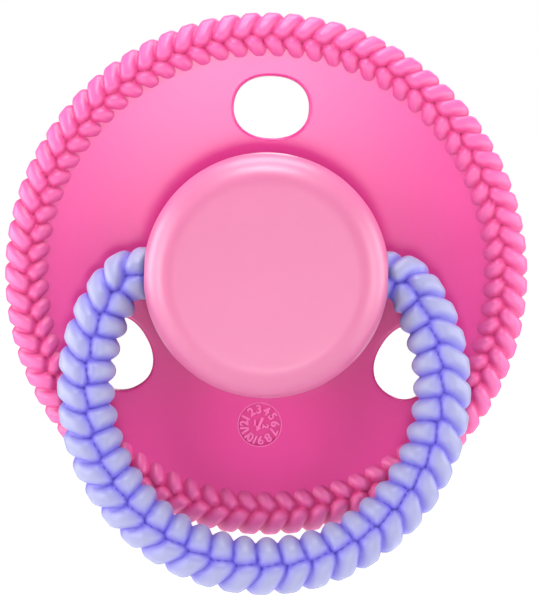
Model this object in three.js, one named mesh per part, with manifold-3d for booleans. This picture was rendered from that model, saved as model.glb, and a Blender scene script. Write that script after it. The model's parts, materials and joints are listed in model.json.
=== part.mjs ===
// Round baby pacifier: a dished shield with a rope rim, a hollow knob that presses over the
// shield's hub, a ring handle that swings on two pins held between hub and knob, and a
// hollow teat whose flange is clamped by a plug.
//
// Millimetres, +Z up. The hub axis is the Y axis and the front faces -Y. The origin is the
// centre of the knob's flat front face. Profiles are (radius, y) points turned about Y.
import * as THREE from 'three';
import { mergeVertices } from 'three/addons/utils/BufferGeometryUtils.js';
import Module from 'manifold-3d';

const wasm = await Module();
wasm.setup();

// Clearance between pieces that touch, and how far a cutter runs past what it cuts.
const gap = 0.3;
const overrun = 1;

// Sides of the pieces turned about the hub axis, and of the pins.
const shieldSegments = 72;
const knobSegments = 48;
const innerSegments = 32;
const pinSegments = 24;

// Shield: a plate that is flat inside the hub and curves forward towards its edge.
const shieldRadius = 22.6;
const plateFrontY = 8.2;
const plateThickness = 2;
const dishDepth = 2.2;
const rimWidth = 3.95;
const rimProud = 0.6;
const plateRings = [12, 15.5];

// Hub of the shield: a collar round the hole that the teat's neck passes through.
const hubHoleRadius = 5;
const collarInner = 6.9;
const collarOuter = 8.3;
const collarFrontY = 2.6;

// Vent holes: round-ended, longer round the hub than across it.
const ventCount = 3;
const ventFromHub = 14.2;
const ventLength = 6.5;
const ventWidth = 5.6;

// Moulded date dial: a shallow round recess below the knob.
const dialBelowHub = 13;
const dialRadius = 1.9;
const dialDepth = 0.2;

// Knob cap.
const knobRadius = 10.4;
const knobFillet = 2.7;
const knobFrontWall = 1.5;
const knobInner = collarOuter + gap;
const knobBackY = 7.7;
const bossInner = 3.4;
const bossOuter = 4.6;

// Keepers inside the knob: how far they stay off the collar's faces and reach into the front wall.
const keeperInset = 0.1;
const keeperRoot = 0.2;

// Ring handle: a circle of rope that hangs below its pivot, with two arms into the knob.
const pivotY = 4.6;
const ringRadius = 15.1;
const ringDrop = 9.5;
const ropeHalfWidth = 2.28;
const ropeHalfDepth = 2.1;
const ropeSides = 12;
const ropeSteps = 64;
const cornerRadius = 2.6;
const pinRadius = 1.5;
const pinInnerX = 6.95;
const ringTilt = THREE.MathUtils.degToRad(4.5);

// Plug and teat, stacked behind the knob's boss.
const plugFlangeRadius = 6.4;
const plugFlangeY = 5.4;
const plugFlangeThickness = 1.2;
const plugStemRadius = 3.2;
const plugStemEndY = 12.2;
const plugBoreRadius = 1;
const teatFlangeRadius = collarInner - gap;
const neckOuter = hubHoleRadius - gap;
const neckInner = plugStemRadius + gap;
const beadRadius = 5.7;
const beadThickness = 1.1;
const bulbRadius = 8;
const bulbY = 30.2;
const teatWaistY = 16;

// Where the bulb's circle ends, in degrees, and how strongly the neck's curve leaves its two ends.
const bulbEnd = -40;
const bulbPull = 1.8;
const neckPull = 4;

// Finishes: moulded polypropylene, clear silicone.
const shieldPink = new THREE.MeshStandardMaterial({ color: 0xe6428f, roughness: 0.42, metalness: 0 });
const knobPink = new THREE.MeshStandardMaterial({ color: 0xf490bf, roughness: 0.32, metalness: 0 });
const ropeBlue = new THREE.MeshStandardMaterial({ color: 0xa6a2f0, roughness: 0.45, metalness: 0 });
const plugWhite = new THREE.MeshStandardMaterial({ color: 0xf3efe9, roughness: 0.55, metalness: 0 });
const teatSilicone = new THREE.MeshStandardMaterial({ color: 0xe9e4da, roughness: 0.25, metalness: 0 });

// A closed mesh as a solid for joining and cutting, with its faces turned outwards.
function solid(geometry) {
  const bare = geometry.clone();
  bare.deleteAttribute('normal');
  bare.deleteAttribute('uv');
  const merged = mergeVertices(bare);
  const position = merged.attributes.position;
  const corners = [];
  let volume = 0;
  for (let i = 0; i < merged.index.count; i += 3) {
    const [a, b, c] = [0, 1, 2].map((k) => merged.index.getX(i + k));
    if (a === b || b === c || a === c) continue;
    corners.push(a, b, c);
    const [p, q, r] = [a, b, c].map((k) => new THREE.Vector3().fromBufferAttribute(position, k));
    volume += p.dot(q.cross(r));
  }
  if (volume < 0) corners.reverse();
  return new wasm.Manifold(new wasm.Mesh({
    numProp: 3,
    vertProperties: Float32Array.from(position.array),
    triVerts: Uint32Array.from(corners),
  }));
}

// A named mesh of a finished solid.
function piece(name, body, material) {
  const mesh = body.getMesh();
  const geometry = new THREE.BufferGeometry();
  geometry.setAttribute('position', new THREE.BufferAttribute(mesh.vertProperties, 3));
  geometry.setIndex(new THREE.BufferAttribute(mesh.triVerts, 1));
  geometry.computeVertexNormals();
  const part = new THREE.Mesh(geometry, material);
  part.name = name;
  return part;
}

// A solid of revolution about the hub axis from (radius, y) pairs.
function turned(profile, segments) {
  const points = profile.map(([r, y]) => new THREE.Vector2(r, y));
  return solid(new THREE.LatheGeometry(points, segments));
}

// Points of an elliptical arc in (radius, y), angles in degrees from +radius towards +y.
function arc(r, y, halfR, halfY, from, to, steps) {
  return Array.from({ length: steps + 1 }, (_, i) => {
    const angle = THREE.MathUtils.degToRad(from + ((to - from) * i) / steps);
    return [r + halfR * Math.cos(angle), y + halfY * Math.sin(angle)];
  });
}

// Front surface of the plate: flat over the hub, then a shallow bowl.
function plateY(r) {
  const outside = Math.max(r, collarOuter);
  return plateFrontY - dishDepth * (outside ** 2 - collarOuter ** 2) / shieldRadius ** 2;
}

// A cylinder on the pivot axis, from x0 to x1.
function crossPin(radius, x0, x1) {
  const geometry = new THREE.CylinderGeometry(radius, radius, x1 - x0, pinSegments);
  geometry.rotateZ(Math.PI / 2);
  geometry.translate((x0 + x1) / 2, pivotY, 0);
  return solid(geometry);
}

// A box given by its lowest and highest corners.
function block(low, high) {
  const size = high.map((v, i) => v - low[i]);
  const geometry = new THREE.BoxGeometry(...size);
  geometry.translate(...high.map((v, i) => (v + low[i]) / 2));
  return solid(geometry);
}

// A slot for something round on the pivot axis, open along the hub axis as far as openY.
function pivotSlot(radius, openY) {
  const x = knobRadius + overrun;
  const low = Math.min(pivotY, openY);
  const high = Math.max(pivotY, openY);
  return crossPin(radius, -x, x).add(block([-x, low, -radius], [x, high, radius]));
}

// A cutter for one vent hole, its long side running round the hub.
function ventCutter(angle) {
  const end = ventWidth / 2;
  const straight = (ventLength - ventWidth) / 2;
  const outline = new THREE.Shape();
  outline.absarc(straight, 0, end, -Math.PI / 2, Math.PI / 2);
  outline.absarc(-straight, 0, end, Math.PI / 2, 1.5 * Math.PI);
  const depth = plateThickness + dishDepth + 2 * overrun;
  const geometry = new THREE.ExtrudeGeometry(outline, { depth, bevelEnabled: false, curveSegments: 12 });
  geometry.rotateX(-Math.PI / 2);
  geometry.translate(0, plateFrontY - dishDepth - overrun, ventFromHub);
  geometry.rotateY(angle);
  return solid(geometry);
}

// The dial's recess follows the slope of the plate where it lies.
function dialCutter() {
  const slope = Math.atan(2 * dishDepth * dialBelowHub / shieldRadius ** 2);
  const geometry = new THREE.CylinderGeometry(dialRadius, dialRadius, 2 * overrun, 32);
  geometry.translate(0, dialDepth - overrun, 0);
  geometry.rotateX(-slope);
  geometry.translate(0, plateY(dialBelowHub), -dialBelowHub);
  return solid(geometry);
}

function shield() {
  const rimCentre = shieldRadius - rimWidth / 2;
  const rimInner = shieldRadius - rimWidth;
  const rimY = plateY(rimCentre) + plateThickness / 2;
  const rimHalfDepth = plateThickness / 2 + rimProud;
  const front = plateRings.map((r) => [r, plateY(r)]);
  const back = plateRings.map((r) => [r, plateY(r) + plateThickness]).reverse();
  let body = turned([
    [hubHoleRadius, plateFrontY],
    [collarInner, plateFrontY],
    [collarInner, collarFrontY],
    [collarOuter, collarFrontY],
    [collarOuter, plateFrontY],
    ...front,
    [rimInner, plateY(rimInner)],
    ...arc(rimCentre, rimY, rimWidth / 2, rimHalfDepth, -150, 130, 8),
    [rimInner, plateY(rimInner) + plateThickness],
    ...back,
    [collarOuter, plateFrontY + plateThickness],
    [hubHoleRadius, plateFrontY + plateThickness],
    [hubHoleRadius, plateFrontY],
  ], shieldSegments);
  for (let i = 0; i < ventCount; i += 1) {
    body = body.subtract(ventCutter((2 * Math.PI * i) / ventCount));
  }
  const pinSeats = pivotSlot(pinRadius + gap, collarFrontY - overrun);
  return body.subtract(pinSeats).subtract(dialCutter());
}

// The knob is a cup with a rounded front edge. Its wall is slotted for the ring's arms, an
// inner boss presses on the plug, and two keepers close the pin seats in the hub's collar.
function knobCap() {
  const edge = knobRadius - knobFillet;
  let body = turned([
    [0, 0],
    ...arc(edge, knobFillet, knobFillet, knobFillet, -90, 0, 6),
    [knobRadius, knobBackY],
    [knobInner, knobBackY],
    [knobInner, knobFrontWall],
    [bossOuter, knobFrontWall],
    [bossOuter, plugFlangeY - gap],
    [bossInner, plugFlangeY - gap],
    [bossInner, knobFrontWall],
    [0, knobFrontWall],
  ], knobSegments);
  const armSlots = pivotSlot(ropeHalfWidth + gap, knobBackY + overrun);
  const insideHub = block([-collarInner, 0, -collarInner], [collarInner, knobBackY + overrun, collarInner]);
  body = body.subtract(armSlots.subtract(insideHub));
  const keeperEndY = pivotY - pinRadius - gap;
  for (const side of [-1, 1]) {
    const faces = [collarInner + keeperInset, collarOuter - keeperInset];
    const xs = faces.map((x) => side * x).sort((a, b) => a - b);
    const low = [xs[0], knobFrontWall - keeperRoot, -pinRadius];
    body = body.add(block(low, [xs[1], keeperEndY, pinRadius]));
  }
  return body;
}

// The plug is a flanged tube: its flange clamps the teat, its stem holds the neck open.
function retainingPlug() {
  const flangeBackY = plugFlangeY + plugFlangeThickness;
  return turned([
    [plugBoreRadius, plugFlangeY],
    [plugFlangeRadius, plugFlangeY],
    [plugFlangeRadius, flangeBackY],
    [plugStemRadius, flangeBackY],
    [plugStemRadius, plugStemEndY],
    [plugBoreRadius, plugStemEndY],
    [plugBoreRadius, plugFlangeY],
  ], innerSegments);
}

// Bulb and neck of the teat from its tip to the start of its straight neck, moved inwards
// by inset.
function teatSide(inset) {
  const join = THREE.MathUtils.degToRad(bulbEnd);
  const radius = bulbRadius - inset;
  const bulb = arc(0, bulbY, radius, radius, 90, bulbEnd, 9);
  const start = new THREE.Vector2(radius * Math.cos(join), bulbY + radius * Math.sin(join));
  const along = new THREE.Vector2(Math.sin(join), -Math.cos(join));
  const end = new THREE.Vector2(neckOuter - inset, teatWaistY);
  const neck = new THREE.CubicBezierCurve(
    start,
    start.clone().addScaledVector(along, bulbPull),
    end.clone().setY(teatWaistY + neckPull),
    end,
  );
  return [...bulb, ...neck.getPoints(4).slice(1).map((p) => [p.x, p.y])];
}

// The teat is hollow and open at its flange. A bead behind the shield keeps it in the hub.
function teat() {
  const beadFrontY = plateFrontY + plateThickness + gap;
  const beadBackY = beadFrontY + beadThickness;
  const flangeFrontY = plugFlangeY + plugFlangeThickness + gap;
  const flangeBackY = plateFrontY - gap;
  return turned([
    ...teatSide(0),
    [neckOuter, beadBackY],
    [beadRadius, beadBackY],
    [beadRadius, beadFrontY],
    [neckOuter, beadFrontY],
    [neckOuter, flangeBackY],
    [teatFlangeRadius, flangeBackY],
    [teatFlangeRadius, flangeFrontY],
    [neckInner, flangeFrontY],
    ...teatSide(neckOuter - neckInner).reverse(),
  ], innerSegments);
}

// Centre line of the handle's rope in its own plane: arm, rounded corner, circle, rounded
// corner, arm. The pivot axis is its X axis.
class HandleLine extends THREE.Curve {
  constructor() {
    super();
    const cornerX = Math.sqrt((ringRadius - cornerRadius) ** 2 - (ringDrop - cornerRadius) ** 2);
    const join = Math.atan2(ringDrop - cornerRadius, cornerX);
    this.outline = new THREE.Path();
    this.outline.moveTo(-knobInner, 0);
    this.outline.lineTo(-cornerX, 0);
    this.outline.absarc(-cornerX, -cornerRadius, cornerRadius, Math.PI / 2, Math.PI - join);
    this.outline.absarc(0, -ringDrop, ringRadius, Math.PI - join, 2 * Math.PI + join);
    this.outline.absarc(cornerX, -cornerRadius, cornerRadius, join, Math.PI / 2);
    this.outline.lineTo(knobInner, 0);
  }

  getPoint(t, target = new THREE.Vector3()) {
    const p = this.outline.getPoint(t);
    return target.set(p.x, 0, p.y);
  }
}

// The handle is one moulding: the rope and the two pins at its ends.
function ringHandle() {
  const section = new THREE.Shape();
  section.absellipse(0, 0, ropeHalfWidth, ropeHalfDepth, 0, 2 * Math.PI);
  const rope = new THREE.ExtrudeGeometry(section, {
    steps: ropeSteps,
    curveSegments: ropeSides / 2,
    bevelEnabled: false,
    extrudePath: new HandleLine(),
  });
  rope.rotateX(-ringTilt);
  rope.translate(0, pivotY, 0);
  const rooted = knobInner + overrun / 2;
  return solid(rope)
    .add(crossPin(pinRadius, pinInnerX, rooted))
    .add(crossPin(pinRadius, -rooted, -pinInnerX));
}

const pacifier = new THREE.Group();
pacifier.add(
  piece('shield', shield(), shieldPink),
  piece('knob_cap', knobCap(), knobPink),
  piece('retaining_plug', retainingPlug(), plugWhite),
  piece('teat', teat(), teatSilicone),
  piece('ring_handle', ringHandle(), ropeBlue),
);

export default pacifier;
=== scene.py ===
import json
import math

import bmesh
import bpy
import numpy as np
from mathutils import Matrix, Vector, geometry


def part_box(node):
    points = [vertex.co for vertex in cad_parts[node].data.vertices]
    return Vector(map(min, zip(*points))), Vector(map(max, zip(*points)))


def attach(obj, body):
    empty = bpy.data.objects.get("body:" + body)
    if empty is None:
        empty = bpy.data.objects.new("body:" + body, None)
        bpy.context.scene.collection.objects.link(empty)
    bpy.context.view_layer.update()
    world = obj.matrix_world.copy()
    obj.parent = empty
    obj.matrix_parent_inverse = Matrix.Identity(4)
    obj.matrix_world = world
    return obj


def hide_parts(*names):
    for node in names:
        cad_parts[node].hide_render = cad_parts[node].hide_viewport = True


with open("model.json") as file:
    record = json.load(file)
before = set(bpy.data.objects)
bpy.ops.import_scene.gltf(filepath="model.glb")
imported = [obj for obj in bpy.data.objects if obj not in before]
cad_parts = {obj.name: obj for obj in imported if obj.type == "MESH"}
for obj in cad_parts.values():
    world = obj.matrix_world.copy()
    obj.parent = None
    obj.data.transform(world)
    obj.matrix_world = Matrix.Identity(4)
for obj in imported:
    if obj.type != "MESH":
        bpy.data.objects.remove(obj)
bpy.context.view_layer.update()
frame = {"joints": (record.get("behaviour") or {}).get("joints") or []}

MM = 0.001


def corners(node):
    """The lowest and highest corners of a CAD node's box, in millimetres."""
    low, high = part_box(node)
    return np.array(low) / MM, np.array(high) / MM


# Driving dimensions, read from the frame.
SHIELD_LOW, SHIELD_HIGH = corners("shield")
KNOB_HIGH = corners("knob_cap")[1]
PLUG_LOW, PLUG_HIGH = corners("retaining_plug")
TEAT_LOW, TEAT_HIGH = corners("teat")
RING_LOW = corners("ring_handle")[0]
SHIELD_R = SHIELD_HIGH[2]
COLLAR_FRONT_Y = SHIELD_LOW[1]
KNOB_R, KNOB_BACK_Y = KNOB_HIGH[2], KNOB_HIGH[1]
PIVOT_Y = frame["joints"][0]["pos_m"][1] / MM
FORWARD = np.array([0, -1, 0])

# Gap between pieces of the same body, as in the CAD model.
GAP = 0.3

# Shield: the same bowl as the CAD plate. Its edge lies inside the rim rope. The vents are ovals a
# little squarer than an ellipse, whose power would be 2.
PLATE_FRONT_Y = 8.2
PLATE_THICK = 2.0
DISH_DEPTH = 2.2
PLATE_EDGE_IN_RIM = 0.6
HUB_HOLE_R = 5.0
COLLAR_IN, COLLAR_OUT = 6.9, 8.3
VENT_FROM_HUB = 14.37
VENT_LENGTH, VENT_WIDTH = 6.45, 5.35
VENT_POWER = 2.25
VENT_FILLET = 0.22
VENT_POINTS = 96
VENTS = 3

# Spacing of the plate's points: from ring to ring, and along a ring.
RING_STEP, POINT_STEP = 0.45, 0.48

# Date dial: a shallow round recess with a thin raised edge.
DIAL_FROM_HUB = 13.0
DIAL_CENTRE = np.array([-0.15, -DIAL_FROM_HUB])
DIAL_FLOOR_R, DIAL_EDGE_R, DIAL_OUT_R = 1.76, 1.88, 2.04
DIAL_DEPTH = 0.16
NUMBERS_R = 1.3
NUMBER_SIZE, SMALL_NUMBER_SIZE = 1.02, 0.7
MARK_HEIGHT, MARK_ROOT = 0.17, -0.06
EDGE_HEIGHT, EDGE_ROOT = 0.22, -0.1

# A plait has an outer and an inner row of strands. SUNK is how deep the strands' middle lines run
# under the rope's surface. The pairs are (outer row, inner row): the angle of a strand's tips, how
# far its tips lean along the rope, and how far it travels along the rope while it rounds the side.
# CREASE is the depth between two strands and how wide a crease is, as plait_reach describes.
STRAND_POINTS = 13

# Rim rope. Its phases say where in a pitch the strands round its sides.
RIM_STRANDS = 75
RIM_HALF_WIDTH = 1.98
RIM_HALF_DEPTH = 1.60
RIM_INSET = 0.11
RIM_CENTRE = SHIELD_R - RIM_INSET - RIM_HALF_WIDTH
RIM_PHASES = (-0.04, 0.36)
RIM_SUNK = 0.62
RIM_TIPS, RIM_LEANS, RIM_WRAPS = (76, 62), (-0.95, -0.62), (-0.10, -0.06)
RIM_CREASE = (0.50, 0.85)

# Ring handle: rope on a circle, rounded corners, slimmer arms, pins. Its phases are the angles
# from straight down of the lowest strand of each row.
ROPE_HALF_WIDTH = 2.47
ROPE_HALF_DEPTH = 2.12
ROPE_GROOVE = 0.05
ARM_HALF_WIDTH = 2.28
ARM_SLIMS_OVER = 3
RING_R = 15.12
RING_DROP = 9.50
CORNER_R = 2.6
ARM_END_X = 8.6
PIN_R = 1.5
PIN_END_X = 6.95
RING_TILT = math.radians(4.5)
RING_ROLL = math.radians(-0.8)
RING_SAG = 0.10
RING_PITCH = math.radians(8.09)
RING_PHASES = (math.radians(-0.2), math.radians(1.9))
ROW_OFFSETS = (1.2, -1.2)
ROPE_SUNK = 0.78
ROPE_TIPS, ROPE_LEANS, ROPE_WRAPS = (70, 66), (1.15, 0.25), (0.14, 0.0)
ROPE_CREASE = (0.61, 1.2)
SPARE_ARM = 10
NEAR_STRANDS = 12

# Knob. Its slots are wider than the ring's arms, and the hub's seats than the pins.
KNOB_FILLET = 2.7
KNOB_WALL = 1.5
KNOB_IN = 8.6
KNOB_INNER_ROUND = 0.5
BOSS_IN, BOSS_OUT = 3.4, 4.6
SLOT_PLAY, SEAT_PLAY = 0.34, 0.3

# Teat: a round bulb, a waist, a straight neck, a bead behind the plate and a flange before it. The
# bulb passes into the waist at BULB_END degrees; the pulls are the handles of the waist's curve.
BULB_R = 8.0
BULB_END = -40
BULB_PULL, NECK_PULL = 1.8, 4
WAIST_Y = 16.0
NECK_R = 4.7
TEAT_WALL = 1.2
BEAD_R, BEAD_THICK = 5.7, 1.1
TEAT_FLANGE_R = 6.6

# Plug.
PLUG_FLANGE = 1.2
PLUG_STEM_R, PLUG_BORE_R = 3.2, 1.0

# Segments of the turned pieces, finer on the larger ones.
KNOB_SEGMENTS, SHELL_SEGMENTS, PLUG_SEGMENTS, PIN_SEGMENTS = 192, 128, 96, 48


# ---------------------------------------------------------------- mesh helpers
def new_object(name, vertices, faces, smooth=True):
    """A mesh object from millimetre vertices."""
    mesh = bpy.data.meshes.new(name)
    mesh.from_pydata((np.asarray(vertices, float) * MM).tolist(), [], faces)
    mesh.validate()
    if smooth:
        mesh.polygons.foreach_set("use_smooth", [True] * len(mesh.polygons))
    mesh.update()
    obj = bpy.data.objects.new(name, mesh)
    bpy.context.scene.collection.objects.link(obj)
    return obj


def skin_faces(rows, columns, closed_rows):
    """Quads of a grid of vertices whose columns close on themselves."""
    faces = []
    for i in range(rows if closed_rows else rows - 1):
        a, b = i * columns, ((i + 1) % rows) * columns
        for j in range(columns):
            k = (j + 1) % columns
            faces.append((a + j, a + k, b + k, b + j))
    return faces


def prism_faces(n):
    """Faces of a prism whose vertices are one end's n corners and then the other end's."""
    sides = [(i, (i + 1) % n, n + (i + 1) % n, n + i) for i in range(n)]
    return sides + [tuple(range(n - 1, -1, -1)), tuple(range(n, 2 * n))]


def circle_points(centre, r, count):
    """Evenly spaced points of a circle."""
    a = 2 * math.pi * np.arange(count) / count
    return np.stack([centre[0] + r * np.sin(a), centre[1] + r * np.cos(a)], axis=1)


def orient(obj):
    """Turns every face outwards."""
    bm = bmesh.new()
    bm.from_mesh(obj.data)
    bmesh.ops.recalc_face_normals(bm, faces=bm.faces)
    bm.to_mesh(obj.data)
    bm.free()


def lathe(name, profile, segments, closed=True):
    """A solid turned about the hub axis from (radius, y) pairs; a radius of 0 is one point."""
    vertices, rings = [], []
    for r, y in profile:
        if r < 1e-6:
            rings.append([len(vertices)])
            vertices.append((0, y, 0))
            continue
        rings.append(list(range(len(vertices), len(vertices) + segments)))
        for i in range(segments):
            a = 2 * math.pi * i / segments
            vertices.append((r * math.sin(a), y, r * math.cos(a)))
    faces = []
    pairs = list(zip(rings, rings[1:]))
    if closed:
        pairs.append((rings[-1], rings[0]))
    for p, q in pairs:
        for i in range(segments):
            k = (i + 1) % segments
            if len(p) == 1:
                faces.append((p[0], q[k], q[i]))
            elif len(q) == 1:
                faces.append((p[i], p[k], q[0]))
            else:
                faces.append((p[i], p[k], q[k], q[i]))
    obj = new_object(name, vertices, faces)
    orient(obj)
    return obj


def arc(r, y, radius, start, end, steps):
    """Points of an arc in (radius, y), angles in degrees from +radius towards +y."""
    angles = np.radians(np.linspace(start, end, steps + 1))
    return [(r + radius * math.cos(a), y + radius * math.sin(a)) for a in angles]


def crisp(obj, degrees=35):
    """Smooth shading that keeps edges sharper than this angle."""
    for other in bpy.context.selected_objects:
        other.select_set(False)
    obj.select_set(True)
    bpy.context.view_layer.objects.active = obj
    bpy.ops.object.shade_smooth_by_angle(angle=math.radians(degrees))
    obj.select_set(False)


def cut(obj, cutter):
    """Boolean difference, applied, and the cutter deleted."""
    modifier = obj.modifiers.new("cut", "BOOLEAN")
    modifier.operation = "DIFFERENCE"
    modifier.solver = "EXACT"
    modifier.object = cutter
    bpy.context.view_layer.objects.active = obj
    obj.select_set(True)
    bpy.ops.object.modifier_apply(modifier=modifier.name)
    obj.select_set(False)
    bpy.data.objects.remove(cutter)


def join_meshes(name, meshes):
    """One object from several meshes that are already in place."""
    vertices, faces = [], []
    for mesh in meshes:
        first = len(vertices)
        vertices.extend(tuple(v.co / MM) for v in mesh.vertices)
        faces.extend(tuple(first + v for v in p.vertices) for p in mesh.polygons)
    obj = new_object(name, vertices, faces)
    orient(obj)
    crisp(obj)
    return obj


def prism_x(name, outline, x0, x1):
    """A solid of a (y, z) outline between two values of x."""
    vertices = [(x, y, z) for x in (x0, x1) for y, z in outline]
    obj = new_object(name, vertices, prism_faces(len(outline)))
    orient(obj)
    return obj


def pivot_slot_outline(radius, open_y):
    """U-shaped outline round the pivot, open along the hub axis as far as open_y."""
    sign = 1 if open_y > PIVOT_Y else -1
    angles = np.radians(np.linspace(90, 270, 25))
    points = [(PIVOT_Y + sign * radius * math.cos(a), radius * math.sin(a)) for a in angles]
    return points + [(open_y, -radius), (open_y, radius)]


# ---------------------------------------------------------------- ropes
def strand_distance(points, spines):
    """Distance from each point to the middle line of each of its strands."""
    best = np.full(points.shape[:-1] + (spines.shape[-3],), 1e9)
    for m in range(spines.shape[-2] - 1):
        a, b = spines[..., m, :], spines[..., m + 1, :]
        ab = b - a
        ap = points[..., None, :] - a
        t = np.clip((ap * ab).sum(-1) / (ab * ab).sum(-1), 0, 1)
        best = np.minimum(best, np.linalg.norm(ap - t[..., None] * ab, axis=-1))
    return best


def plait_reach(centres, directions, envelope, spines, depth, span):
    """How far each ray runs from the rope's centre line to the plait's surface, and its crease.

    The surface follows the envelope and dips by depth where two strands are equally near, and further
    where three are; span is how far from such a crease, as a difference of distances, a strand's back
    is level. The crease is 1 at the bottom of a dip and 0 on a strand's back; the materials use it to
    paint shade into the creases.
    centres (n, 3), directions (n, m, 3), envelope (n or 1, m), spines (n, k, p, 3)."""
    points = centres[:, None, :] + directions * envelope[..., None]
    away = np.partition(strand_distance(points, spines[:, None]), (1, 2), axis=-1)
    second = np.clip((away[..., 1] - away[..., 0]) / span, 0, 1)
    third = np.clip((away[..., 2] - away[..., 0]) / span, 0, 1)
    dip = (1 - second) ** 1.8 + 0.5 * (1 - third) ** 2
    return envelope - depth * dip, np.clip(dip, 0, 1)


def mark_creases(obj, crease):
    """Keeps how deep in a crease each vertex lies, for the material's painted crease shade."""
    layer = obj.data.attributes.new("crease", "FLOAT", "POINT")
    layer.data.foreach_set("value", np.asarray(crease, np.float32).ravel())


def oval_reach(phi, half_width, half_depth, groove):
    """Envelope of a rope's section, with a shallow groove along the middle of front and back."""
    oval = 1 / np.hypot(np.cos(phi) / half_width, np.sin(phi) / half_depth)
    return oval - groove * np.exp(-(oval * np.cos(phi) / 0.5) ** 2)


def strand(side, reach, depth, tip_angle, lean, wrap):
    """The middle line of one strand as (advance, outward, forward) rows, back tip to front tip.

    side is 1 for the outer row and -1 for the inner row. Seen from the front the tip lies lean
    further along the rope than where the strand rounds its side; wrap is how far it still travels
    along the rope while it rounds that side."""
    tau = np.linspace(-1, 1, STRAND_POINTS)
    phi = math.radians(tip_angle) * tau
    bend = (1 - np.cos(phi)) / (1 - math.cos(math.radians(tip_angle)))
    advance = lean * bend * np.sign(tau) + wrap * np.sin(2 * phi)
    return np.stack([advance, side * reach * np.cos(phi), depth * np.sin(phi)], axis=1)


def two_strands(half_width, half_depth, sunk, tips, leans, wraps):
    """The middle lines of a plait's outer and inner strand."""
    return [strand(side, half_width - sunk, half_depth - sunk, tip, lean, wrap)
            for side, tip, lean, wrap in zip((1, -1), tips, leans, wraps)]


def spokes(sides, rays):
    """Rays round a rope at each of its outward sides: their angles and their directions."""
    phi = 2 * math.pi * np.arange(rays) / rays
    across = np.cos(phi)[None, :, None] * sides[:, None, :]
    return phi, across + np.sin(phi)[None, :, None] * FORWARD


# ---------------------------------------------------------------- shield
def plate_y(r):
    """Front surface of the plate: flat over the hub, then a shallow bowl."""
    outside = np.maximum(r, COLLAR_OUT)
    return PLATE_FRONT_Y - DISH_DEPTH * (outside ** 2 - COLLAR_OUT ** 2) / SHIELD_R ** 2


RIM_Y = float(plate_y(RIM_CENTRE)) + PLATE_THICK / 2


def rim_rope():
    """The rim's plait: one pitch of it is worked out and turned round the hub."""
    columns, rays = ((18, 64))
    rows = two_strands(RIM_HALF_WIDTH, RIM_HALF_DEPTH, RIM_SUNK, RIM_TIPS, RIM_LEANS, RIM_WRAPS)
    pitch = 2 * math.pi / RIM_STRANDS
    neighbours = 3
    spines = []
    for row, phase in zip(rows, RIM_PHASES):
        for k in range(-neighbours, neighbours + 1):
            angle = (k + phase) * pitch + row[:, 0] / RIM_CENTRE
            r = RIM_CENTRE + row[:, 1]
            spines.append(np.stack([r * np.sin(angle), RIM_Y - row[:, 2], r * np.cos(angle)], axis=1))
    spines = np.repeat(np.array(spines)[None], columns, axis=0)
    turn = pitch * (np.arange(columns) / columns - 0.5)
    radial = np.stack([np.sin(turn), np.zeros(columns), np.cos(turn)], axis=1)
    centres = radial * RIM_CENTRE + np.array([0, RIM_Y, 0])
    phi, directions = spokes(radial, rays)
    envelope = oval_reach(phi, RIM_HALF_WIDTH, RIM_HALF_DEPTH, 0)[None]
    reach, crease = plait_reach(centres, directions, envelope, spines, *RIM_CREASE)
    patch = centres[:, None] + directions * reach[..., None]
    vertices = []
    for k in range(RIM_STRANDS):
        a = k * pitch
        c, s = math.cos(a), math.sin(a)
        x, y, z = patch[..., 0], patch[..., 1], patch[..., 2]
        vertices.append(np.stack([c * x + s * z, y, c * z - s * x], axis=-1).reshape(-1, 3))
    vertices = np.concatenate(vertices)
    obj = new_object("shield_rim", vertices, skin_faces(columns * RIM_STRANDS, rays, True))
    mark_creases(obj, np.tile(crease, (RIM_STRANDS, 1)))
    orient(obj)
    return obj


def vent_outline(grow):
    """A vent hole grown by a distance, round its own centre."""
    a = 2 * math.pi * np.arange(VENT_POINTS) / VENT_POINTS
    c, s = np.cos(a), np.sin(a)
    x = (VENT_LENGTH / 2 + grow) * np.sign(c) * np.abs(c) ** (2 / VENT_POWER)
    z = (VENT_WIDTH / 2 + grow) * np.sign(s) * np.abs(s) ** (2 / VENT_POWER)
    return np.stack([x, z], axis=1)


def vent_place(i, points):
    """Vent points (round the hub, away from the hub) as (x, z)."""
    a = 2 * math.pi * i / VENTS
    away = np.array([math.sin(a), math.cos(a)])
    round_hub = np.array([math.cos(a), -math.sin(a)])
    return points[:, :1] * round_hub + (points[:, 1:] + VENT_FROM_HUB) * away


def in_vent(p, i, grow):
    """Whether a point of the plate lies inside a vent hole grown by a distance."""
    a = 2 * math.pi * i / VENTS
    x = abs(p[0] * math.cos(a) - p[1] * math.sin(a)) / (VENT_LENGTH / 2 + grow)
    z = abs(p[0] * math.sin(a) + p[1] * math.cos(a) - VENT_FROM_HUB) / (VENT_WIDTH / 2 + grow)
    return x ** VENT_POWER + z ** VENT_POWER < 1


def in_any_vent(p, grow):
    """Whether a point of the plate lies inside any vent hole grown by a distance."""
    return any(in_vent(p, i, grow) for i in range(VENTS))


def dial_dip(q):
    """How far the plate's front surface is sunk at a distance from the dial's centre."""
    step = np.clip((q - DIAL_FLOOR_R) / (DIAL_EDGE_R - DIAL_FLOOR_R), 0, 1)
    return DIAL_DEPTH * (1 - step * step * (3 - 2 * step))


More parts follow.
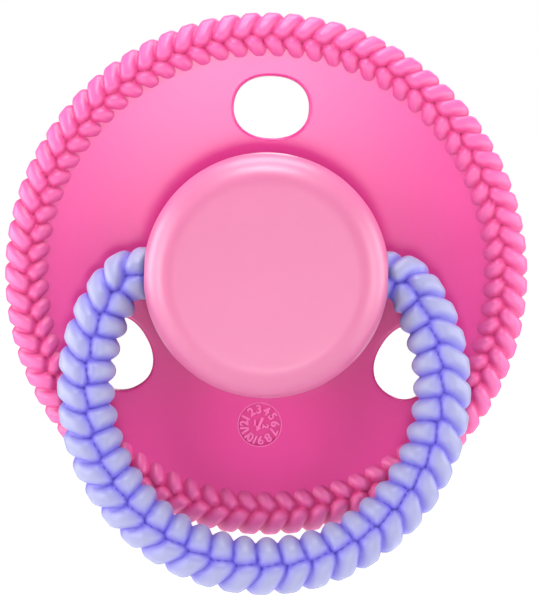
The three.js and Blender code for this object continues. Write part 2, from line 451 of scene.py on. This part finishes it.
class PlateNet:
    """Points of the plate seen from the front, how far each dips, and edges that must be kept."""

    def __init__(self):
        self.points, self.dips, self.edges = [], [], []

    def add(self, ring, dip=0, locked=False):
        """Adds a ring of points; a locked ring's edges are kept."""
        first, n = len(self.points), len(ring)
        self.points.extend(Vector(p) for p in ring)
        self.dips.extend([dip] * n)
        if locked:
            self.edges.extend((first + i, first + (i + 1) % n) for i in range(n))

    def add_circle(self, centre, r, step, locked=False):
        """Adds a circle whose points are about a step apart."""
        self.add(circle_points(centre, r, max(12, int(2 * math.pi * r / step))), 0, locked)

    def triangles(self):
        """The triangulation's points, their dips and its triangles."""
        out = geometry.delaunay_2d_cdt(self.points, self.edges, [], 0, 1e-6)
        points = np.array([tuple(v) for v in out[0]])
        dips = np.array([self.dips[source[0]] if source else 0 for source in out[3]])
        return points, dips, [tuple(f) for f in out[2]]


def add_vents(net):
    """Each vent's rounded edge, sunk at the hole, and two wider rings round it."""
    for i in range(VENTS):
        for t in np.radians(np.linspace(0, 90, 9)):
            ring = vent_place(i, vent_outline(VENT_FILLET * (1 - math.cos(t))))
            net.add(ring, VENT_FILLET * (1 - math.sin(t)), t == 0)
        for extra in (0.15, 0.4):
            net.add(vent_place(i, vent_outline(VENT_FILLET + extra))[::2])


def add_dial(net):
    """Rings of the dial's floor, its sloping edge and the plate just round it."""
    for r in (0.35, 0.7, 1.05, 1.4):
        net.add_circle(DIAL_CENTRE, r, 0.3)
    for r in (1.6, *np.linspace(DIAL_FLOOR_R, DIAL_OUT_R, 9), 2.1, 2.3):
        net.add_circle(DIAL_CENTRE, r, 0.12)
    net.add([DIAL_CENTRE])


def add_field(net, outer_r):
    """Rings of points over the rest of the plate, clear of the dial and the vents."""
    dial_margin, vent_margin = 0.55, 0.65
    for r in np.arange(HUB_HOLE_R + 0.5, outer_r - 0.3, RING_STEP):
        for p in circle_points((0, 0), r, max(12, int(2 * math.pi * r / POINT_STEP))):
            near_dial = np.linalg.norm(p - DIAL_CENTRE) < DIAL_OUT_R + dial_margin
            if not near_dial and not in_any_vent(p, VENT_FILLET + vent_margin):
                net.add([p])


def edge_walls(faces, back):
    """Quads that join each open edge of some faces to the same edge, back vertices later."""
    uses = {}
    for face in faces:
        for a, b in zip(face, face[1:] + face[:1]):
            uses.setdefault((min(a, b), max(a, b)), []).append((a, b))
    return [(a, b, b + back, a + back) for (a, b), in (u for u in uses.values() if len(u) == 1)]


def plate():
    """The dished plate with its vents: one triangulation, lifted to the front and to the back."""
    outer_r = RIM_CENTRE - PLATE_EDGE_IN_RIM
    net = PlateNet()
    add_vents(net)
    add_dial(net)
    net.add_circle((0, 0), HUB_HOLE_R, 0.5, locked=True)
    net.add_circle((0, 0), outer_r, 0.5, locked=True)
    add_field(net, outer_r)
    points, dips, triangles = net.triangles()
    kept = []
    for face in triangles:
        middle = points[list(face)].mean(0)
        if HUB_HOLE_R < np.linalg.norm(middle) < outer_r and not in_any_vent(middle, 0):
            kept.append(face)
    front = plate_y(np.linalg.norm(points, axis=1))
    sunk = dial_dip(np.linalg.norm(points - DIAL_CENTRE, axis=1))
    n = len(points)
    vertices = np.concatenate([
        np.stack([points[:, 0], front + dips + sunk, points[:, 1]], axis=1),
        np.stack([points[:, 0], front + PLATE_THICK - dips, points[:, 1]], axis=1),
    ])
    backs = [tuple(v + n for v in face[::-1]) for face in kept]
    obj = new_object("shield_plate", vertices, kept + backs + edge_walls(kept, n))
    orient(obj)
    crisp(obj, 40)
    return obj


def hub_collar():
    """The collar that the knob presses over, with a seat for each pin."""
    edge, root_y = 0.2, PLATE_FRONT_Y + 0.5
    obj = lathe("shield_hub_collar", [
        (COLLAR_IN, root_y),
        *arc(COLLAR_IN + edge, COLLAR_FRONT_Y + edge, edge, 180, 270, 4),
        *arc(COLLAR_OUT - edge, COLLAR_FRONT_Y + edge, edge, 270, 360, 4),
        (COLLAR_OUT, root_y),
    ], SHELL_SEGMENTS)
    outline = pivot_slot_outline(PIN_R + SEAT_PLAY, COLLAR_FRONT_Y - 1)
    past_collar = 10
    cut(obj, prism_x("seats", outline, -past_collar, past_collar))
    crisp(obj)
    return obj


def lay_on_dial(obj, x, z, turn):
    """Lays an object flat on the dial's floor at (x, z) from its centre, turned clockwise."""
    slope = math.atan(2 * DISH_DEPTH * DIAL_FROM_HUB / SHIELD_R ** 2)
    floor_y = float(plate_y(DIAL_FROM_HUB)) + DIAL_DEPTH
    centre = Matrix.Translation(Vector((DIAL_CENTRE[0], floor_y, DIAL_CENTRE[1])) * MM)
    tilt = Matrix.Rotation(-slope, 4, "X")
    shift = Matrix.Translation(Vector((x, 0, z)) * MM)
    spin = Matrix.Rotation(turn, 4, "Y")
    lie = Matrix.Rotation(math.radians(90), 4, "X")
    obj.matrix_world = centre @ tilt @ shift @ spin @ lie
    return obj


def dial_number(body, size):
    """A small raised number with softened edges."""
    curve = bpy.data.curves.new("mark", "FONT")
    curve.body = body
    curve.size = size * MM
    curve.align_x, curve.align_y = "CENTER", "CENTER"
    curve.extrude = 0.13 * MM
    curve.bevel_depth = 0.018 * MM
    curve.bevel_resolution = 1
    curve.offset = 0.018 * MM
    curve.space_character = 0.85
    curve.resolution_u = 4
    obj = bpy.data.objects.new("mark", curve)
    bpy.context.scene.collection.objects.link(obj)
    return obj


def dial_pointer():
    """A raised arrow."""
    half_shaft, half_head, tail, shoulder, tip = 0.11, 0.27, 0.62, -0.22, -0.64
    outline = [(-half_shaft, tail), (half_shaft, tail), (half_shaft, shoulder), (half_head, shoulder),
               (0, tip), (-half_head, shoulder), (-half_shaft, shoulder)]
    vertices = [(x, y, h) for h in (MARK_ROOT, MARK_HEIGHT) for x, y in outline]
    return new_object("pointer", vertices, prism_faces(len(outline)), smooth=False)


def dial_edge():
    """A thin raised ring round the dial."""
    count, half_top = 96, 0.03
    section = ((DIAL_FLOOR_R, EDGE_ROOT), (DIAL_EDGE_R - half_top, EDGE_HEIGHT),
               (DIAL_EDGE_R + half_top, EDGE_HEIGHT), (DIAL_OUT_R, EDGE_ROOT))
    turn = 2 * math.pi * np.arange(count) / count
    vertices = [(r * math.cos(a), r * math.sin(a), h) for r, h in section for a in turn]
    return new_object("edge", vertices, skin_faces(len(section), count, True))


def dial_marks():
    """Raised numbers 1 to 12 round the dial, a pointer, two small digits and the dial's edge."""
    parts = []
    for n in range(1, 13):
        a = math.radians(30 * (n - 3) - 5)
        number = dial_number(str(n), NUMBER_SIZE)
        parts.append(lay_on_dial(number, NUMBERS_R * math.sin(a), NUMBERS_R * math.cos(a), a))
    parts.append(lay_on_dial(dial_number("1", SMALL_NUMBER_SIZE), -0.42, 0.12, 0))
    parts.append(lay_on_dial(dial_number("2", SMALL_NUMBER_SIZE), 0.48, -0.12, math.radians(90)))
    parts.append(lay_on_dial(dial_pointer(), 0, 0.02, math.radians(22)))
    parts.append(lay_on_dial(dial_edge(), 0, 0, 0))
    depsgraph = bpy.context.evaluated_depsgraph_get()
    meshes = []
    for obj in parts:
        mesh = bpy.data.meshes.new_from_object(obj.evaluated_get(depsgraph))
        mesh.transform(obj.matrix_world)
        meshes.append(mesh)
        bpy.data.objects.remove(obj)
    return join_meshes("date_dial_marks", meshes)


# ---------------------------------------------------------------- knob
def knob():
    """A hollow round knob with a rounded front edge and a slot on each side for the ring."""
    edge, lip, corner = KNOB_R - KNOB_FILLET, 0.25, KNOB_INNER_ROUND
    boss_end = PLUG_LOW[1] - GAP
    obj = lathe("knob", [
        (0, 0), (3, 0), (6, 0), (edge - 0.4, 0),
        *arc(edge, KNOB_FILLET, KNOB_FILLET, -90, 0, 24),
        *arc(KNOB_R - lip, KNOB_BACK_Y - lip, lip, 0, 90, 4),
        (KNOB_IN, KNOB_BACK_Y),
        *arc(KNOB_IN - corner, KNOB_WALL + corner, corner, 0, -90, 6),
        (BOSS_OUT, KNOB_WALL), (BOSS_OUT, boss_end), (BOSS_IN, boss_end), (BOSS_IN, KNOB_WALL),
        (0, KNOB_WALL),
    ], KNOB_SEGMENTS, closed=False)
    outline = pivot_slot_outline(ARM_HALF_WIDTH + SLOT_PLAY, KNOB_BACK_Y + 1)
    inside, outside = KNOB_IN - corner, KNOB_R + 1
    cut(obj, prism_x("left_slot", outline, -outside, -inside))
    cut(obj, prism_x("right_slot", outline, inside, outside))
    crisp(obj)
    return obj


# ---------------------------------------------------------------- ring
class RingLine:
    """Centre line of the handle's rope by distance from its lowest point, positive to the right.

    It runs round the circle, then a corner, then straight in along an arm. circle, bend and end are
    the distances at which those stretches end; SPARE_ARM more arm carries the last strands."""

    def __init__(self):
        self.corner_x = math.sqrt((RING_R - CORNER_R) ** 2 - (RING_DROP - CORNER_R) ** 2)
        self.join = math.pi / 2 + math.atan2(RING_DROP - CORNER_R, self.corner_x)
        self.circle = RING_R * self.join
        self.bend = self.circle + CORNER_R * (math.pi - self.join)
        self.end = self.bend + self.corner_x - ARM_END_X

    def row_lengths(self, u):
        """Lengths along a line beside the centre line, at the centre line's own stations."""
        circle = self.circle * (1 + u / RING_R)
        bend = circle + (self.bend - self.circle) * (1 + u / CORNER_R)
        return [0, circle, bend, bend + self.end - self.bend + SPARE_ARM]

    def station(self, u, length):
        """Distance on the centre line of a length along the row at offset u."""
        stations = [0, self.circle, self.bend, self.end + SPARE_ARM]
        return np.sign(length) * np.interp(np.abs(length), self.row_lengths(u), stations)

    def frame(self, s):
        """Centre point and outward side at distances s, in the ring's own plane."""
        a = np.abs(s)
        corner_turn = np.minimum(self.join + (a - self.circle) / CORNER_R, math.pi)
        turn = np.where(a < self.circle, a / RING_R, corner_turn)
        side = np.stack([np.sin(turn), np.zeros_like(a), -np.cos(turn)], axis=-1)
        circle = side * RING_R + np.array([0, 0, -RING_DROP])
        bend = side * CORNER_R + np.array([self.corner_x, 0, -CORNER_R])
        arm = bend + np.clip(a - self.bend, 0, None)[..., None] * np.array([-1, 0, 0])
        point = np.where((a < self.circle)[..., None], circle, arm)
        mirror = np.stack([np.where(s < 0, -1.0, 1.0), np.ones_like(a), np.ones_like(a)], axis=-1)
        return point * mirror, side * mirror


def ring_place(points):
    """From the ring's own plane to the frame: tilted forward, hanging a little askew in its seats."""
    tilt = np.array(Matrix.Rotation(-RING_TILT, 3, "X"))
    roll = np.array(Matrix.Rotation(RING_ROLL, 3, "Y"))
    return points @ (roll @ tilt).T + np.array([0, PIVOT_Y, -RING_SAG])


def ring_spines(line):
    """The middle lines of every strand of the handle's plait."""
    rows = two_strands(ROPE_HALF_WIDTH, ROPE_HALF_DEPTH, ROPE_SUNK, ROPE_TIPS, ROPE_LEANS, ROPE_WRAPS)
    half_turn = math.ceil(math.pi / RING_PITCH) + 1
    past_end = 1
    spines = []
    for row, phase, u in zip(rows, RING_PHASES, ROW_OFFSETS):
        last = line.row_lengths(u)[-1] - SPARE_ARM + past_end
        for k in range(-half_turn, half_turn + 1):
            base = (RING_R + u) * (phase + k * RING_PITCH)
            if abs(base) <= last:
                point, side = line.frame(line.station(u, base + row[:, 0]))
                spines.append(point + side * row[:, 1:2] + FORWARD * row[:, 2:3])
    return np.array(spines)


def ring_rope():
    """The handle's plait, with closed ends inside the knob."""
    step, rays = ((0.1, 80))
    line = RingLine()
    spines = ring_spines(line)
    columns = 2 * int(line.end / step) + 1
    stations = np.linspace(-line.end, line.end, columns)
    centres, sides = line.frame(stations)
    away = np.linalg.norm(centres[:, None] - spines.mean(axis=1)[None], axis=-1)
    nearest = np.argsort(away, axis=1)[:, :NEAR_STRANDS]
    phi, directions = spokes(sides, rays)
    slims = (line.circle - ARM_SLIMS_OVER, line.bend)
    width = np.interp(np.abs(stations), slims, (ROPE_HALF_WIDTH, ARM_HALF_WIDTH))
    envelope = oval_reach(phi, width[:, None], ROPE_HALF_DEPTH, ROPE_GROOVE)
    reach, crease = plait_reach(centres, directions, envelope, spines[nearest], *ROPE_CREASE)
    skin = centres[:, None] + directions * reach[..., None]
    vertices = np.concatenate([skin.reshape(-1, 3), centres[:1], centres[-1:]])
    faces = skin_faces(columns, rays, False)
    last = (columns - 1) * rays
    left_end, right_end = columns * rays, columns * rays + 1
    for j in range(rays):
        k = (j + 1) % rays
        faces.append((left_end, k, j))
        faces.append((right_end, last + j, last + k))
    obj = new_object("ring_rope", ring_place(vertices), faces)
    mark_creases(obj, np.append(crease, (0, 0)))
    orient(obj)
    crisp(obj, 75)
    return obj


def ring_pins():
    """The two pins that turn in the hub's seats; each runs a little way into its arm."""
    edge, into_arm = 0.2, 0.4
    length = ARM_END_X + into_arm - PIN_END_X
    profile = [(0, 0), (PIN_R - edge, 0), *arc(PIN_R - edge, edge, edge, -90, 0, 4),
               (PIN_R, length), (0, length)]
    parts = []
    for side in (-1, 1):
        pin = lathe("pin", profile, PIN_SEGMENTS, closed=False)
        pin.data.transform(Matrix.Rotation(-side * math.pi / 2, 4, "Z"))
        pin.data.transform(Matrix.Translation(Vector((side * PIN_END_X, PIVOT_Y, -RING_SAG)) * MM))
        parts.append(pin)
    obj = join_meshes("ring_pins", [p.data for p in parts])
    for pin in parts:
        bpy.data.objects.remove(pin)
    return obj


# ---------------------------------------------------------------- teat and plug
def teat_side(inset):
    """Bulb and waist of the teat from its tip to its straight neck, moved inwards by inset."""
    bulb_y, r = TEAT_HIGH[1] - BULB_R, BULB_R - inset
    points = arc(0, bulb_y, r, 90, BULB_END, 28)
    a = math.radians(BULB_END)
    start = Vector((r * math.cos(a), bulb_y + r * math.sin(a)))
    end = Vector((NECK_R - inset, WAIST_Y))
    from_bulb = start + Vector((math.sin(a), -math.cos(a))) * BULB_PULL
    to_neck = end + Vector((0, NECK_PULL))
    waist = geometry.interpolate_bezier(start, from_bulb, to_neck, end, 18)
    return [(0, bulb_y + r)] + points[1:] + [(p[0], p[1]) for p in waist[1:]]


def teat():
    """A hollow bulb and neck, a retaining bead behind the plate and a flange in front of it."""
    bead_y, edge = PLATE_FRONT_Y + PLATE_THICK + GAP, 0.3
    front, back = TEAT_LOW[1], PLATE_FRONT_Y - GAP
    mouth_r = NECK_R - TEAT_WALL
    obj = lathe("teat_skin", [
        *teat_side(0),
        *arc(BEAD_R - edge, bead_y + BEAD_THICK - edge, edge, 90, 0, 5),
        *arc(BEAD_R - edge, bead_y + edge, edge, 0, -90, 5),
        (NECK_R, bead_y), (NECK_R, back),
        (TEAT_FLANGE_R, back), (TEAT_FLANGE_R, front), (mouth_r, front),
        *teat_side(TEAT_WALL)[::-1],
    ], SHELL_SEGMENTS, closed=False)
    crisp(obj, 50)
    return obj


def plug():
    """A hollow flanged plug that keeps the teat's neck open."""
    front, back, flange_r, edge = PLUG_LOW[1], PLUG_HIGH[1], PLUG_HIGH[0], 0.2
    flange_back = front + PLUG_FLANGE
    obj = lathe("plug_body", [
        (PLUG_BORE_R, front), (flange_r - edge, front), (flange_r, front + edge),
        (flange_r, flange_back - edge), (flange_r - edge, flange_back),
        (PLUG_STEM_R + 0.1, flange_back), (PLUG_STEM_R, flange_back + 0.1),
        (PLUG_STEM_R, back - 0.4), (PLUG_STEM_R - 0.3, back), (PLUG_BORE_R, back),
    ], PLUG_SEGMENTS)
    crisp(obj)
    return obj


# ---------------------------------------------------------------- materials
def plastic(name, colour, deep, roughness, subsurface=0.12, bleed=(1.0, 0.35, 0.55), crease=None,
            shine=0.5):
    """Moulded plastic: a slightly uneven colour, a slightly uneven gloss and a fine moulded skin.

    bleed is how far red, green and blue light spread under the skin, and crease is painted shade and
    painted bounced light: a darker, fuller colour painted between the strands of a plait, where the
    strands shade each other and light bounces to and fro."""
    material = bpy.data.materials.new(name)
    material.use_nodes = True
    nodes, links = material.node_tree.nodes, material.node_tree.links
    shader = nodes["Principled BSDF"]
    place = nodes.new("ShaderNodeTexCoord")
    cloud = nodes.new("ShaderNodeTexNoise")
    cloud.inputs["Scale"].default_value = 160
    cloud.inputs["Detail"].default_value = 3
    links.new(place.outputs["Object"], cloud.inputs["Vector"])
    tint = nodes.new("ShaderNodeValToRGB")
    tint.color_ramp.elements[0].position = 0.3
    tint.color_ramp.elements[1].position = 0.7
    tint.color_ramp.elements[0].color = (*deep, 1)
    tint.color_ramp.elements[1].color = (*colour, 1)
    links.new(cloud.outputs["Fac"], tint.inputs["Fac"])
    links.new(tint.outputs["Color"], shader.inputs["Base Color"])
    # Painted shade: the base colour is mixed towards the darker crease colour the deeper a vertex
    # lies in a crease between strands.
    if crease:
        between = nodes.new("ShaderNodeAttribute")
        between.attribute_name = "crease"
        painted_crease_shade = nodes.new("ShaderNodeMix")
        painted_crease_shade.data_type = "RGBA"
        painted_crease_shade.inputs["B"].default_value = (*crease, 1)
        links.new(between.outputs["Fac"], painted_crease_shade.inputs["Factor"])
        links.new(tint.outputs["Color"], painted_crease_shade.inputs["A"])
        links.new(painted_crease_shade.outputs["Result"], shader.inputs["Base Color"])
    gloss = nodes.new("ShaderNodeMapRange")
    gloss.inputs["To Min"].default_value = roughness - 0.015
    gloss.inputs["To Max"].default_value = roughness + 0.025
    links.new(cloud.outputs["Fac"], gloss.inputs["Value"])
    links.new(gloss.outputs["Result"], shader.inputs["Roughness"])
    grain = nodes.new("ShaderNodeTexNoise")
    grain.inputs["Scale"].default_value = 2600
    grain.inputs["Detail"].default_value = 4
    links.new(place.outputs["Object"], grain.inputs["Vector"])
    skin = nodes.new("ShaderNodeBump")
    skin.inputs["Strength"].default_value = 0.12
    skin.inputs["Distance"].default_value = 0.02 * MM
    links.new(grain.outputs["Fac"], skin.inputs["Height"])
    links.new(skin.outputs["Normal"], shader.inputs["Normal"])
    shader.inputs["IOR"].default_value = 1.49
    shader.inputs["Specular IOR Level"].default_value = shine
    shader.inputs["Subsurface Weight"].default_value = subsurface
    shader.inputs["Subsurface Radius"].default_value = bleed
    shader.inputs["Subsurface Scale"].default_value = 0.9 * MM
    return material


def silicone():
    """Clear, warm silicone rubber."""
    material = bpy.data.materials.new("clear_silicone")
    material.use_nodes = True
    nodes, links = material.node_tree.nodes, material.node_tree.links
    shader = nodes["Principled BSDF"]
    place = nodes.new("ShaderNodeTexCoord")
    haze = nodes.new("ShaderNodeTexNoise")
    haze.inputs["Scale"].default_value = 300
    links.new(place.outputs["Object"], haze.inputs["Vector"])
    tint = nodes.new("ShaderNodeValToRGB")
    tint.color_ramp.elements[0].color = (0.80, 0.75, 0.65, 1)
    tint.color_ramp.elements[1].color = (0.84, 0.80, 0.71, 1)
    links.new(haze.outputs["Fac"], tint.inputs["Fac"])
    links.new(tint.outputs["Color"], shader.inputs["Base Color"])
    shader.inputs["Roughness"].default_value = 0.18
    shader.inputs["IOR"].default_value = 1.41
    shader.inputs["Transmission Weight"].default_value = 0.92
    shader.inputs["Subsurface Weight"].default_value = 0.1
    shader.inputs["Subsurface Radius"].default_value = (1.0, 0.9, 0.8)
    shader.inputs["Subsurface Scale"].default_value = 2 * MM
    return material


def dress(obj, material, slot, body, *nodes):
    """Gives a piece its material, lets it ride on a body and stand for CAD nodes; slot is not used.
    """
    obj.data.materials.clear()
    obj.data.materials.append(material)
    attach(obj, body)
    if nodes:
        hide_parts(*nodes)


# ---------------------------------------------------------------- stage
HUB = Vector((0, 6, 0))
FLOOR_HALF = 3000
FLOOR_DROP = 60

# The camera sees SEEN_HEIGHT from the bottom to the top of the picture, at its target.
SENSOR = 36
SEEN_HEIGHT = 51.5
CAMERA_DISTANCE = 300
CAMERA_TARGET = Vector((0.31, 7.0, -2.2))
CAMERA_ELEVATION = math.radians(1.7)
CAMERA_ROLL = math.radians(1.8)


def softbox(name, azimuth, elevation, distance, width, height, power):
    """A soft white light aimed at the hub, in degrees, metres and watts.

    Azimuth 0 is in front of the pacifier and 90 to its right."""
    light = bpy.data.lights.new(name, "AREA")
    light.shape = "RECTANGLE"
    light.size, light.size_y = width, height
    light.energy = power
    obj = bpy.data.objects.new(name, light)
    a, e = math.radians(azimuth), math.radians(elevation)
    away = Vector((math.sin(a) * math.cos(e), -math.cos(a) * math.cos(e), math.sin(e)))
    obj.location = away * distance + HUB * MM
    obj.rotation_mode = "QUATERNION"
    obj.rotation_quaternion = away.to_track_quat("Z", "Y")
    obj.visible_camera = False
    bpy.context.scene.collection.objects.link(obj)


def lights():
    """Tall boxes at the sides, edge lights just behind the pacifier, and others round it."""
    softbox("left_box", -62, 4, 0.24, 0.07, 0.18, 0.34)
    softbox("right_box", 62, 4, 0.24, 0.07, 0.18, 0.28)
    softbox("left_edge", -98, 8, 0.22, 0.08, 0.16, 0.32)
    softbox("right_edge", 98, 8, 0.22, 0.08, 0.16, 0.24)
    softbox("top_box", -4, 60, 0.14, 0.07, 0.03, 0.14)
    softbox("top_edge", 0, 98, 0.20, 0.16, 0.08, 0.30)
    softbox("low_box", 2, -13, 0.26, 0.055, 0.07, 0.165)
    softbox("bottom_box", 0, -50, 0.20, 0.12, 0.05, 0.14)
    softbox("front_fill", -4, 26, 0.42, 0.36, 0.26, 0.05)
    softbox("back_box", 165, 20, 0.34, 0.20, 0.20, 0.45)
    world = bpy.data.worlds.new("studio")
    bpy.context.scene.world = world
    world.use_nodes = True
    nodes, links = world.node_tree.nodes, world.node_tree.links
    background = nodes["Background"]
    background.inputs["Color"].default_value = (1, 1, 1, 1)
    seen_and_lit(nodes, links, background.inputs["Strength"], 1.0, 0.25)


def seen_and_lit(nodes, links, socket, seen, lit):
    """Gives a strength one value where it is seen, through clear rubber too, and one for light."""
    path = nodes.new("ShaderNodeLightPath")
    either = nodes.new("ShaderNodeMath")
    either.operation = "MAXIMUM"
    strength = nodes.new("ShaderNodeMapRange")
    strength.inputs["To Min"].default_value = lit
    strength.inputs["To Max"].default_value = seen
    links.new(path.outputs["Is Camera Ray"], either.inputs[0])
    links.new(path.outputs["Is Transmission Ray"], either.inputs[1])
    links.new(either.outputs["Value"], strength.inputs["Value"])
    links.new(strength.outputs["Result"], socket)


def floor():
    """A plain white floor well below the pacifier."""
    half, z = FLOOR_HALF, RING_LOW[2] - FLOOR_DROP
    square = [(-half, -half, z), (half, -half, z), (half, half, z), (-half, half, z)]
    obj = new_object("floor", square, [(0, 1, 2, 3)], smooth=False)
    material = bpy.data.materials.new("floor_white")
    material.use_nodes = True
    nodes, links = material.node_tree.nodes, material.node_tree.links
    shader = nodes["Principled BSDF"]
    shader.inputs["Base Color"].default_value = (0.85, 0.85, 0.85, 1)
    shader.inputs["Roughness"].default_value = 0.9
    shader.inputs["Emission Color"].default_value = (1, 1, 1, 1)
    seen_and_lit(nodes, links, shader.inputs["Emission Strength"], 0.85, 0.22)
    obj.data.materials.append(material)


def camera():
    """Straight on, a little above and rolled a little."""
    cam = bpy.data.cameras.new("camera")
    cam.sensor_fit = "AUTO"
    cam.sensor_width = SENSOR
    cam.lens = SENSOR * CAMERA_DISTANCE / SEEN_HEIGHT
    cam.clip_start, cam.clip_end = 0.01, 10
    obj = bpy.data.objects.new("camera", cam)
    back = Vector((0, -math.cos(CAMERA_ELEVATION), math.sin(CAMERA_ELEVATION)))
    place = Matrix.Translation((CAMERA_TARGET + back * CAMERA_DISTANCE) * MM)
    aim = (-back).to_track_quat("-Z", "Y").to_matrix().to_4x4()
    obj.matrix_world = place @ aim @ Matrix.Rotation(CAMERA_ROLL, 4, "Z")
    bpy.context.scene.collection.objects.link(obj)
    bpy.context.scene.camera = obj


camera()
lights()
floor()
bpy.context.scene.view_settings.view_transform = "Standard"

hot_pink = plastic("hot_pink", (0.64, 0.037, 0.248), (0.63, 0.033, 0.240), 0.28, shine=0.6)
# The rim rope's pink is painted light: the shield's plastic made paler where the rope catches more
# light, and rougher. Its crease colour is painted shade between the strands.
lit_rope_pink = plastic("lit_rope_pink", (0.64, 0.088, 0.295), (0.63, 0.080, 0.285), 0.46,
                    crease=(0.62, 0.030, 0.20), shine=0.75)
# The dial marks' pink is painted light: the shield's plastic made paler where the raised marks catch
# the light.
lit_mark_pink = plastic("lit_mark_pink", (0.78, 0.14, 0.40), (0.77, 0.13, 0.39), 0.40)
# The knob's pink is painted light: a paler copy of the shield's plastic where the knob catches more
# light.
lit_knob_pink = plastic("lit_knob_pink", (0.52, 0.128, 0.262), (0.51, 0.123, 0.256), 0.38, shine=0.75)
# The ring's crease colour is painted shade between its strands.
periwinkle = plastic("periwinkle", (0.282, 0.288, 0.475), (0.275, 0.281, 0.463), 0.40, 0.25,
                     (0.5, 0.45, 1.0), crease=(0.15, 0.12, 0.60))
white_plastic = plastic("natural_white", (0.82, 0.80, 0.76), (0.80, 0.78, 0.74), 0.5)
clear = silicone()

dress(plate(), hot_pink, "shield_pink", "pacifier", "shield")
dress(rim_rope(), lit_rope_pink, "shield_pink", "pacifier")
dress(hub_collar(), hot_pink, "shield_pink", "pacifier")
dress(dial_marks(), lit_mark_pink, "shield_pink", "pacifier")
dress(knob(), lit_knob_pink, "knob_pink", "pacifier", "knob_cap")
dress(ring_rope(), periwinkle, "ring_periwinkle", "ring", "ring_handle")
dress(ring_pins(), periwinkle, "ring_periwinkle", "ring")
dress(teat(), clear, "teat_silicone", "pacifier", "teat")
dress(plug(), white_plastic, "plug_white", "pacifier", "retaining_plug")
